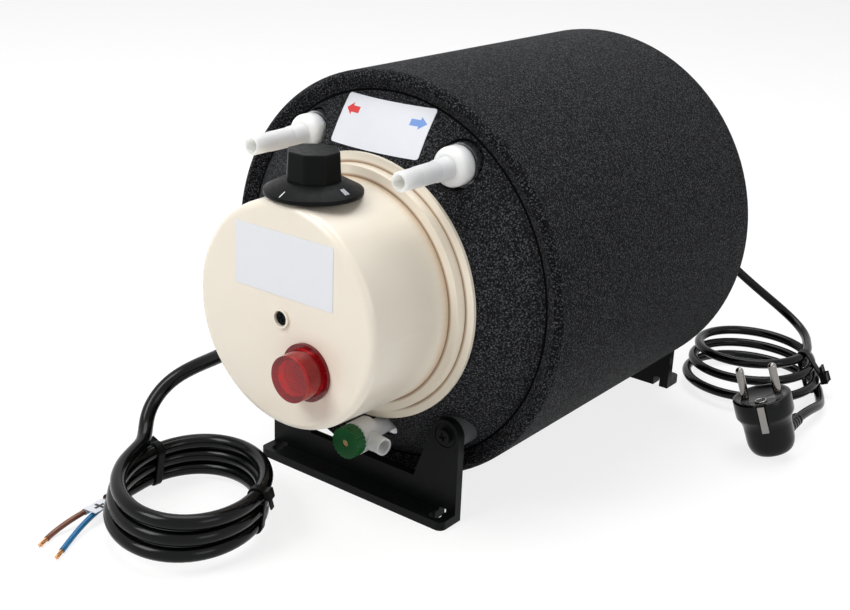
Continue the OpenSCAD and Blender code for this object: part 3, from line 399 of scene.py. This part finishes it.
def add_block(build, place, size, rounding):
    """A block with rounded edges, centred on a placing."""
    verts = bmesh.ops.create_cube(build, size=1)["verts"]
    for vert in verts:
        vert.co = place @ Vector(c * w for c, w in zip(vert.co, size))
    edges = list({edge for vert in verts for edge in vert.link_edges})
    bmesh.ops.bevel(build, geom=edges, offset=rounding, segments=2, profile=0.5, affect="EDGES")


def add_loop(build, rings):
    """Closed loop of cross-sections, each a ring of points."""
    made = [[build.verts.new(p) for p in ring] for ring in rings]
    count = len(rings[0])
    for a, b in zip(made, made[1:] + made[:1]):
        for k in range(count):
            n = (k + 1) % count
            build.faces.new((a[k], a[n], b[n], b[k]))


# Routes of the cords, as in the part's source; ends and handles are fitted to the photograph
def heading(turn, rise):
    turn, rise = radians(turn), radians(rise)
    return Vector((cos(turn) * cos(rise), sin(turn) * cos(rise), sin(rise)))


def curve(a, leave, arrive, b, steps=24):
    """Points of a Bezier curve from a to b, after a itself."""
    out = []
    for i in range(1, steps + 1):
        k = i / steps
        m = 1 - k
        out.append(m ** 3 * a + 3 * m * m * k * (a + leave) + 3 * m * k * k * (b - arrive) + k ** 3 * b)
    return out


def length_of(points):
    return sum((b - a).length for a, b in zip(points, points[1:]))


def coil_point(t):
    """Middle of the supply cable, t turns into its coil: an oval that sinks and drifts."""
    r, turn, way = COIL_R + COIL_GROW * t, radians(COIL_START + COIL_LEAN) + 2 * pi * t, radians(-COIL_LEAN)
    along, across = COIL_OVAL * r * cos(turn), r * sin(turn)
    return Vector((COIL_X + COIL_DRIFT_X * t + along * cos(way) - across * sin(way),
                   COIL_Y + COIL_DRIFT_Y * t + along * sin(way) + across * cos(way),
                   COIL_LOW + COIL_PITCH * (COIL_TURNS - t)))


def hank_point(t):
    """Middle of the mains lead, t turns into its hank."""
    r, turn = HANK_R + HANK_GROW * t, radians(HANK_START) - 2 * pi * t
    return Vector((HANK_X + HANK_DRIFT_X * t + r * cos(turn),
                   HANK_Y + HANK_DRIFT_Y * t + r * sin(turn),
                   HANK_LOW + HANK_PITCH * (HANK_TURNS - t)))


cable_way = heading(180, CABLE_FALL)
cable_axis = Vector((0, -GROMMET_AHEAD, AXIS_Z))
cable_tip = cable_axis + (HOUSING_R + GROMMET_OUT) * cable_way
coil_in = (coil_point(TINY) - coil_point(0)).normalized()
coil_end = coil_point(COIL_TURNS)
coil_out = coil_end - coil_point(COIL_TURNS - TINY)
coil_out.z = 0
coil_out.normalize()
coil_entry = coil_point(0) - CABLE_D * coil_in
sheath_end = coil_end + SHEATH_ON * coil_out


def supply_route():
    """From inside its grommet down to the coil, round it, and on to the end of the sheath."""
    mid = (cable_tip + coil_entry) / 2 + Vector((-25.9, 1.6, -8.7))
    way = heading(-89.5, -42.6)
    steps = 212
    points = [cable_axis + (HOUSING_R - CABLE_IN) * cable_way, cable_tip]
    points += curve(cable_tip, 26 * cable_way, 19.5 * way, mid)
    points += curve(mid, 14.6 * way, 13.1 * coil_in, coil_entry - STRAIGHT * coil_in) + [coil_entry]
    points += [coil_point(COIL_TURNS * i / steps) for i in range(steps + 1)]
    return points + [sheath_end]


def mains_route():
    """From its gland at the rear down to the hank, round it, and on to the plug's relief."""
    start = Vector((GLAND_X, LEAD_FREE_Y, GLAND_Z))
    hank_in = (hank_point(TINY) - hank_point(0)).normalized()
    hank_out = (hank_point(HANK_TURNS) - hank_point(HANK_TURNS - TINY)).normalized()
    entry, leave = hank_point(0) - LEAD_D * hank_in, hank_point(HANK_TURNS) + LEAD_D * hank_out
    mid = (start + entry) / 2 + Vector((-4.3, 29.8, -6.1))
    way = heading(19.6, -37.6)
    steps = 216
    points = [Vector((GLAND_X, LEAD_START_Y, GLAND_Z)), start]
    points += curve(start, Vector((0, 40.7, 0)), 27.5 * way, mid)
    points += curve(mid, 30.2 * way, 31.8 * hank_in, entry - STRAIGHT * hank_in) + [entry]
    points += [hank_point(HANK_TURNS * i / steps) for i in range(steps + 1)] + [leave]
    points += curve(leave, 20.9 * hank_out, Vector((0, -30.6, 0)), RELIEF_BACK + Vector((0, STRAIGHT, 0)))
    return points + [RELIEF_BACK]


def core_routes():
    """Points of the brown and the blue core, each with the direction of its end."""
    side = Vector((coil_out.y, -coil_out.x, 0))
    apart = CORE_D / 2 + CORE_GAP
    low = CORE_D / 2 + 0.2
    brown, blue = sheath_end + apart * side, sheath_end - apart * side
    brown_way, blue_way = heading(-67, 0), heading(-60, 0)
    brown_end = Vector((sheath_end.x + 2.5, sheath_end.y - 41.3, low))
    blue_end = Vector((sheath_end.x + 17.2, sheath_end.y - 43.1, low))
    brown_on, blue_on = brown + 18 * coil_out, blue + STRAIGHT * coil_out
    first, second = [brown, brown_on], [blue, blue_on]
    first += curve(brown_on, 8 * coil_out, 7 * brown_way, brown_end - STRAIGHT * brown_way, 12)
    second += curve(blue_on, 14 * coil_out, 12 * blue_way, blue_end - STRAIGHT * blue_way, 16)
    return (first + [brown_end], brown_way), (second + [blue_end], blue_way)


# Pieces of the cords
def make_cords():
    supply = supply_route()
    mains = mains_route()
    (brown, _), (blue, _) = core_routes()
    for name, points, diameter, slot, stand_for in (
        ("supply_cord", supply, CABLE_D, "black_sheath", ("supply_cable", "supply_coil")),
        ("mains_cord", mains, LEAD_D, "black_sheath", ("mains_lead", "mains_hank", "mains_tail")),
        ("brown_wire", brown, CORE_D, "brown_sheath", ("brown_core",)),
        ("blue_wire", blue, CORE_D, "blue_sheath", ("blue_core",)),
    ):
        cord_piece(name, [p * MM for p in points], diameter * MM, slot)
        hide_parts(*stand_for)
    length_of(supply) * MM
    length_of(mains) * MM
    length_of(brown) * MM
    length_of(blue) * MM


def strap(name, bound, along, radius, width, head_turn, stands_for):
    """Cable tie drawn round cords that cross one plane: its band, head and cut tail."""
    gap, thick, chamfer, shoulder, steps = 0.15, 0.9, 0.4, 0.3, 72
    along = Vector((along.x, along.y, 0)).normalized()
    across = UPRIGHT.cross(along)
    middle = sum(bound, Vector()) / len(bound)
    places = [((p - middle).dot(across), (p - middle).dot(UPRIGHT)) for p in bound]

    def edge(turn, out):
        way = (cos(turn), sin(turn))
        u, v = max(places, key=lambda c: c[0] * way[0] + c[1] * way[1])
        r = radius + gap + out
        return (u + r * way[0]) * across + (v + r * way[1]) * UPRIGHT + middle

    build = bmesh.new()
    rings = []
    half, less = width / 2 * along, (width / 2 - chamfer) * along
    for i in range(steps):
        turn = 2 * pi * i / steps
        low, high = edge(turn, 0), edge(turn, thick)
        bend = high - shoulder * (high - low)
        rings.append((low - half, low + half, bend + half, high + less, high - less, bend - half))
    add_loop(build, rings)
    out = cos(head_turn) * across + sin(head_turn) * UPRIGHT
    round_way = -sin(head_turn) * across + cos(head_turn) * UPRIGHT
    seat = edge(head_turn, thick)
    head, tail = seat + 1.3 * out, seat + out + 5.2 * round_way
    add_block(build, axes(head, round_way, along, out), (5.5, width + 1.4, 3.4), 0.6)
    add_block(build, axes(tail, round_way, along, out), (6, width - 0.8, 1), 0.3)
    tie = bmesh_piece(name, build, "black_plastic")
    if stands_for:
        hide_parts(stands_for)


def make_straps():
    coil_tie_wide, coil_head, hank_tie_wide, hank_head = 4.6, 2.9, 6.5, 0.4
    for name, turn, stands_for in (("coil_strap_front", 0.5, "coil_ties"), ("coil_strap_left", 0.91, None)):
        bound = [coil_point(turn + i) for i in range(3)]
        along = coil_point(turn + TINY) - coil_point(turn)
        strap(name, bound, along, CABLE_D / 2, coil_tie_wide, coil_head, stands_for)
    bound = [hank_point(turn) for turn in (0.05, 1.05, 2.05, 2.95)]
    along = hank_point(0.05 + TINY) - hank_point(0.05)
    strap("hank_strap", bound, along, LEAD_D / 2, hank_tie_wide, hank_head, "hank_tie")


def make_flag_mark():
    """Plus sign printed on the flag of the brown core."""
    flag_start, flag_top, mark_along, mark_across = 2.5, 0.6, 6.5, 4.6
    side = Vector((-coil_out.y, coil_out.x, 0))
    start = sheath_end - (CORE_D / 2 + CORE_GAP) * side + flag_start * coil_out
    top = CORE_D / 2 + flag_top

    def place(u, v, h):
        return start + (mark_along + u) * coil_out + (mark_across + v) * side + Vector((0, 0, top + h))

    a, b = 3.1, 0.85
    plus = [(a, -b), (a, b), (b, b), (b, a), (-b, a), (-b, b),
            (-a, b), (-a, -b), (-b, -b), (-b, -a), (b, -a), (b, -b)]
    prism("flag_mark", plus, place, "black_print")


def make_strands():
    """Bare copper of both cores: six strands twisted round a seventh, of slightly different lengths."""
    wire, ring, sides, steps = 0.36, 0.72, 8, 10
    bare, root, twist, flare, tip = 8, 0.6, 1.4, 0.12, 0.55
    verts, faces = [], []
    for end, (points, way) in enumerate(core_routes()):
        side = Vector((-way.y, way.x, 0))
        for strand in range(7):
            length = bare - 0.35 * ((strand * 5 + end * 3) % 7) / 3
            first = len(verts)
            for i in range(steps + 1):
                share = i / steps
                turn = 2 * pi * strand / 6 + twist * share
                spread = (ring + flare * share) if strand < 6 else 0
                off = spread * (cos(turn) * side + sin(turn) * UPRIGHT)
                centre = points[-1] + (length * share - root) * way + off
                thin = wire * (tip if i == steps else 1)
                for k in range(sides):
                    a = 2 * pi * k / sides
                    verts.append(centre + thin * (cos(a) * side + sin(a) * UPRIGHT))
            for i in range(steps):
                low, high = first + i * sides, first + (i + 1) * sides
                for k in range(sides):
                    n = (k + 1) % sides
                    faces.append((low + k, low + n, high + n, high + k))
            faces.append(tuple(first + k for k in range(sides))[::-1])
            faces.append(tuple(first + steps * sides + k for k in range(sides)))
    strands = mesh_piece("copper_strands", verts, faces, "copper")
    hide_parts("copper_ends")


def make_plug():
    """Shell of the mains plug with its ribbed relief, earth clips, earth ring and earth hole."""
    place = Matrix.Translation(PLUG_AT) @ Matrix.Rotation(radians(PLUG_TURN), 4, "Z") \
        @ Matrix.Rotation(radians(PLUG_LEAN), 4, "Y")
    clip_half, clip_seat, clip_low, no_limit = 2.5, 15.4, -18.5, 99

    def limit(turn, height):
        """Flat seats of both earth clips."""
        across, out = cos(turn), abs(sin(turn))
        if height > clip_low and abs(across) * clip_seat / max(out, 0.01) < clip_half:
            return clip_seat / out
        return no_limit

    neck, round_in, round_across, round_down = -27, 9.6, 4.6, 9.1
    profile = [(AXIS_R, -0.5), (13.6, -0.5), (14.2, 0), (16.4, 0), (17, -0.4), (17.2, -1), (17.2, -10.6),
               (17, -11.6), (16.2, -12.8), (15.2, -14.8), (14.6, -17), (14.4, -18.4), (14.4, -18.6),
               (14.3, -24), (14.2, neck)]
    profile += [(round_in + round_across * cos(radians(a)), neck - round_down * sin(radians(a)))
                for a in range(10, 91, 10)]
    profile += [(AXIS_R, -36.2)]
    shell = lathe("plug_shell", profile[::-1], place, "black_sheath", sides=160, limit=limit)
    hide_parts("plug_body")

    back = axes(RELIEF_BACK, Vector((1, 0, 0)), Vector((0, 0, 1)), Vector((0, -1, 0)))
    ribs, rib_start, rib_pitch, rib_r, rib_grow = 8, 1, 3.6, 4, 0.24
    profile = [(AXIS_R, 0), (3.6, 0), (rib_r, 0.4)]
    for i in range(ribs):
        r, h = rib_r + rib_grow * i, rib_start + rib_pitch * i
        profile += [(r, h), (r + 0.15, h + 2.2), (r - 0.55, h + 2.5), (r - 0.5, h + 3.3)]
    profile += [(6, 30), (6, 38), (AXIS_R, 38)]
    lathe("plug_relief", profile, back, "black_sheath", sides=40)

    build = bmesh.new()
    for side in (-1, 1):
        add_block(build, place @ Matrix.Translation((0, side * 15.9, -9.8)), (4.2, 1, 16.8), 0.3)
    clips = bmesh_piece("earth_clips", build, "plated_pins")
    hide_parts("plug_earth_contacts")

    hole = place @ Matrix.Translation((0, -8, -0.5))
    ring = [(2.5, -0.4), (3.6, -0.4), (3.6, 0.3), (3.3, 0.5), (2.8, 0.5), (2.5, 0.3)]
    lathe("earth_ring", ring, hole, "plated_pins", sides=40, hollow=True)
    dark = [(AXIS_R, -0.3), (2.6, -0.3), (2.6, 0.1), (2.2, 0.2), (AXIS_R, 0.15)]
    lathe("earth_hole", dark, hole, "black_print", sides=40)


# Pieces of the body
def make_seam():
    """Near-black ring in the groove between the front foam and the jacket: a painted shadow of the gap."""
    low, mid, high = 100.75, 101.35, 102
    dome = CROWN_C + sqrt(CROWN_R ** 2 - low * low)
    profile = [(low, dome + 0.06), (mid, SEAM + 0.16), (high, SEAM + 0.37),
               (high, SEAM + 0.1), (mid, SEAM - 0.3), (low, dome - 0.2)]
    place = axes(Vector((0, 0, AXIS_Z)), Vector((1, 0, 0)), Vector((0, 0, 1)), Vector((0, -1, 0)))
    lathe("front_seam_shadow", profile, place, "seam_painted_shadow", sides=128, hollow=True)


def make_arrows():
    """Arrows of the flow label, on its domed face: red for hot water and blue for cold."""
    head_long, head, shaft = 4.2, 2.9, 1.5

    def place(u, v, h):
        reach = CROWN_R + LABEL_THICK + h
        return Vector((u, -CROWN_C - sqrt(reach ** 2 - u * u - v * v), AXIS_Z + v))

    def arrow(name, tip, tail, up, slot):
        neck = tip - head_long if tip > tail else tip + head_long
        middle = (neck + tail) / 2
        outline = [(tip, up), (neck, up + head), (neck, up + shaft), (middle, up + shaft), (tail, up + shaft),
                   (tail, up - shaft), (middle, up - shaft), (neck, up - shaft), (neck, up - head)]
        prism(name, outline, place, slot)

    arrow("hot_arrow", -26, -16.5, 90, "red_print")
    arrow("cold_arrow", 27, 17.5, 89.6, "blue_print")


def make_knob():
    """Knob with softened edges: a coned skirt and an eight-sided grip."""
    foot = Matrix.Translation((0, KNOB_Y, KNOB_Z))
    skirt = [(AXIS_R, 0.02), (24.3, 0.02), (24.65, 0.12), (24.75, 0.5), (24.75, 1.9), (24.68, 2.12),
             *KNOB_CONE, (15, 7.2), (AXIS_R, 7.2)]
    cone = lathe("knob_skirt", skirt, foot, "black_plastic", "knob", sides=128)
    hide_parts("thermostat_knob")

    sides, soft_above = 8, 10
    half_side = pi / sides
    build = bmesh.new()
    rings = []
    for half, height in ((13.25, 7), (12.5, 21.7)):
        reach = half / cos(half_side)
        turns = [half_side + 2 * half_side * k for k in range(sides)]
        corners = [foot @ Vector((reach * cos(turn), reach * sin(turn), height)) for turn in turns]
        rings.append([build.verts.new(corner) for corner in corners])
    for k in range(sides):
        n = (k + 1) % sides
        build.faces.new((rings[0][k], rings[0][n], rings[1][n], rings[1][k]))
    build.faces.new(rings[0][::-1])
    build.faces.new(rings[1])
    soft = [e for e in build.edges if max(v.co.z for v in e.verts) > foot.translation.z + soft_above]
    bmesh.ops.bevel(build, geom=soft, offset=0.8, segments=3, profile=0.5, affect="EDGES")
    grip = bmesh_piece("knob_grip", build, "black_plastic", "knob")


def make_knob_marks():
    """Printed bars on the cone: one for cold and four side by side for warm."""
    (low_r, low), (high_r, high) = KNOB_CONE
    verts, faces = [], []
    bars = [(-89.7, 20.4, 24.2, 0.55)] + [(turn, 18.5, 22.3, 0.36) for turn in (-3.9, -1.8, 0.3, 2.4)]
    for turn, start, end, width in bars:
        out, side = heading(turn, 0), heading(turn + 90, 0)
        first = len(verts)
        for r in (start, end):
            rise = low + (low_r - r) / (low_r - high_r) * (high - low)
            for across in (-width / 2, width / 2):
                for lift in (-0.1, 0.06):
                    verts.append(Vector((0, KNOB_Y, KNOB_Z + rise + lift)) + r * out + across * side)
        faces += [tuple(first + k for k in face) for face in (
            (0, 1, 3, 2), (4, 6, 7, 5), (0, 4, 5, 1), (2, 3, 7, 6), (1, 5, 7, 3), (0, 2, 6, 4))]
    marks = mesh_piece("knob_marks", verts, faces, "white_print", "knob", smooth=False)
    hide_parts("knob_ticks")


make_straps()
make_knob_marks()
make_flag_mark()
make_seam()
make_arrows()
make_strands()
make_plug()
make_knob()
make_cords()

# Floor and light, in metres
FLOOR_HALF, FLOOR_DROP, FLOOR_SHADE = 12, 0.0002, 0.86
FLOOR_GLOW, FLOOR_GLOW_SHARE = 1.12, 0.72
SKY_LIGHT, SKY_SEEN = 0.25, 1.0
WHITE = (1, 1, 1, 1)


def looked_at(tree):
    """One where the camera, a mirror or glass looks at the background."""
    seen = add_node(tree, "LightPath")
    last = seen.outputs["Is Camera Ray"]
    for name in ("Is Glossy Ray", "Is Transmission Ray"):
        most = add_node(tree, "Math", operation="MAXIMUM")
        tree.links.new(last, most.inputs[0])
        tree.links.new(seen.outputs[name], most.inputs[1])
        last = most.outputs[0]
    return last


def make_floor():
    """Pale floor that keeps the object's shadow and turns white where it is looked at."""
    data = bpy.data.meshes.new("floor")
    corners = [(FLOOR_HALF * x, FLOOR_HALF * y, 0) for x, y in ((-1, -1), (1, -1), (1, 1), (-1, 1))]
    data.from_pydata(corners, [], [(0, 1, 2, 3)])
    floor = bpy.data.objects.new("floor", data)
    scene.collection.objects.link(floor)
    floor.location.z = -FLOOR_DROP
    material = bpy.data.materials.new("floor")
    material.use_nodes = True
    tree = material.node_tree
    tree.nodes.clear()
    out = add_node(tree, "OutputMaterial")
    plain = add_node(tree, "BsdfDiffuse", Color=(FLOOR_SHADE, FLOOR_SHADE, FLOOR_SHADE, 1))
    glow = add_node(tree, "Emission", Color=WHITE, Strength=FLOOR_GLOW)
    share = add_node(tree, "Math", operation="MULTIPLY")
    share.inputs[1].default_value = FLOOR_GLOW_SHARE
    both = add_node(tree, "MixShader")
    tree.links.new(looked_at(tree), share.inputs[0])
    tree.links.new(share.outputs[0], both.inputs["Fac"])
    tree.links.new(plain.outputs[0], both.inputs[1])
    tree.links.new(glow.outputs[0], both.inputs[2])
    tree.links.new(both.outputs[0], out.inputs["Surface"])
    data.materials.append(material)


def make_world():
    """Soft light from all round, white where it is looked at."""
    world = bpy.data.worlds.new("world")
    scene.world = world
    world.use_nodes = True
    tree = world.node_tree
    sky = tree.nodes["Background"]
    sky.inputs["Color"].default_value = WHITE
    level = add_node(tree, "MapRange", **{"To Min": SKY_LIGHT, "To Max": SKY_SEEN})
    tree.links.new(looked_at(tree), level.inputs["Value"])
    tree.links.new(level.outputs["Result"], sky.inputs["Strength"])


def make_lamps():
    for name, place, aim, size, power in (
        ("key", (-0.55, -1.35, 1.45), (0, -0.1, 0.12), (0.9, 0.9), 23.4),
        ("top", (-0.2, 0.3, 1.7), (0, 0, 0.15), (1.3, 1.1), 19),
        ("side", (1.7, -0.35, 0.7), (0.05, 0, 0.12), (0.8, 0.8), 5.2),
    ):
        data = bpy.data.lights.new(name, "AREA")
        data.shape, data.size, data.size_y, data.energy = "RECTANGLE", size[0], size[1], power
        light = bpy.data.objects.new(name, data)
        light.location = place
        light.rotation_euler = (Vector(aim) - Vector(place)).to_track_quat("-Z", "Y").to_euler()
        scene.collection.objects.link(light)


make_floor()
make_world()
make_lamps()
